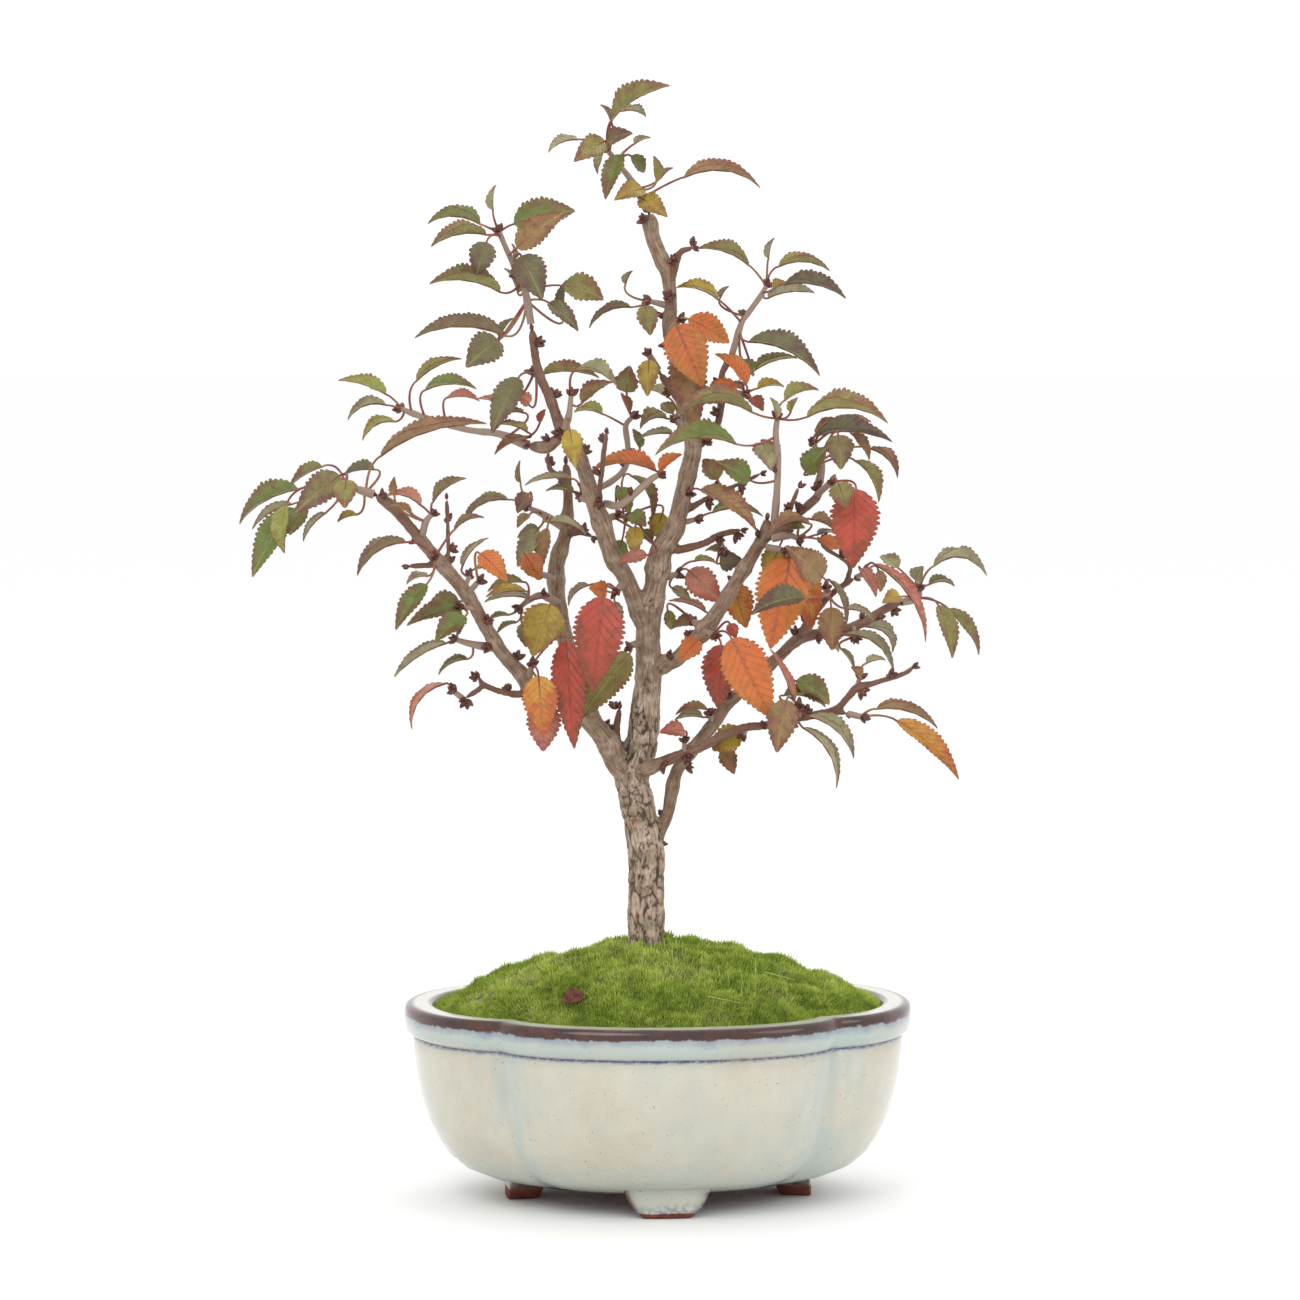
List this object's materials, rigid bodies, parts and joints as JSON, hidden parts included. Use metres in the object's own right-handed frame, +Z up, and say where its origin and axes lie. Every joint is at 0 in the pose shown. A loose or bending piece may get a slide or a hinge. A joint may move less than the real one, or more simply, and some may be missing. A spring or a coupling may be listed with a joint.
{
  "type": "kojo-no-mai fuji cherry bonsai",
  "caption": "Small branching cherry bonsai in autumn leaf, grown from a moss mound in a glazed lobed ceramic pot on arc-shaped feet.",
  "frame": {"origin": "centre of the bounding box's base, on the surface that the pot's feet stand on", "axes": "+Z up along the trunk; the pictured side of the tree faces -Y, with the pot's long axis along X"},
  "size_m": [0.257, 0.139, 0.3724],
  "materials": {
    "glaze": "gloss",
    "screen": "matte",
    "soil": "matte",
    "moss": "matte",
    "bark": "matte",
    "leaf_green": "satin",
    "leaf_orange": "satin",
    "leaf_red": "satin"
  },
  "bodies": {
    "root": {"pot": "glaze", "drain_screen_left": "screen", "drain_screen_right": "screen", "soil": "soil", "moss": "moss", "tree_wood": "bark", "leaves_top": "leaf_green", "leaves_upper_left": "leaf_green", "leaves_left_reach": "leaf_green", "leaves_far_left": "leaf_green", "leaves_left_bend": "leaf_green", "leaves_left_knot": "leaf_green", "leaves_left_cluster": "leaf_green", "leaves_left_orange": "leaf_orange", "leaves_back_left": "leaf_green", "leaves_mid_left": "leaf_green", "leaves_mid_orange": "leaf_orange", "leaves_left_green": "leaf_green", "leaves_left_nest": "leaf_green", "leaves_low_twig": "leaf_red", "leaves_deep_red": "leaf_red", "leaves_low_orange": "leaf_orange", "leaves_trunk_left": "leaf_green", "leaves_between": "leaf_green", "leaves_leader_knot": "leaf_green", "leaves_centre_orange": "leaf_orange", "leaves_centre": "leaf_green", "leaves_leader_left": "leaf_green", "leaves_leader_side": "leaf_green", "leaves_stub": "leaf_green", "leaves_leader_mid": "leaf_green", "leaves_leader_high": "leaf_green", "leaves_leader_orange": "leaf_orange", "leaves_right_orange": "leaf_orange", "leaves_top_right": "leaf_green", "leaves_right_shoot": "leaf_green", "leaves_right_up": "leaf_green", "leaves_right_red": "leaf_red", "leaves_right_fork": "leaf_green", "leaves_right_gold": "leaf_orange", "leaves_right_low": "leaf_green", "leaves_far_right": "leaf_green", "leaves_right_twig": "leaf_red", "leaves_right_under": "leaf_green", "leaves_fork_orange": "leaf_orange", "leaves_fork_green": "leaf_green", "leaves_fork_gold": "leaf_orange", "leaves_leader_right": "leaf_green", "leaves_leader_brown": "leaf_orange", "leaves_leader_olive": "leaf_green", "leaves_twig_high": "leaf_green", "leaves_twig_dark": "leaf_red", "leaves_low_right": "leaf_green", "leaves_low_right_tip": "leaf_orange", "leaves_low_right_knot": "leaf_green", "leaves_low_right_gold": "leaf_orange", "leaves_low_right_pink": "leaf_red", "leaves_behind_right": "leaf_green"}
  },
  "joints": []
}
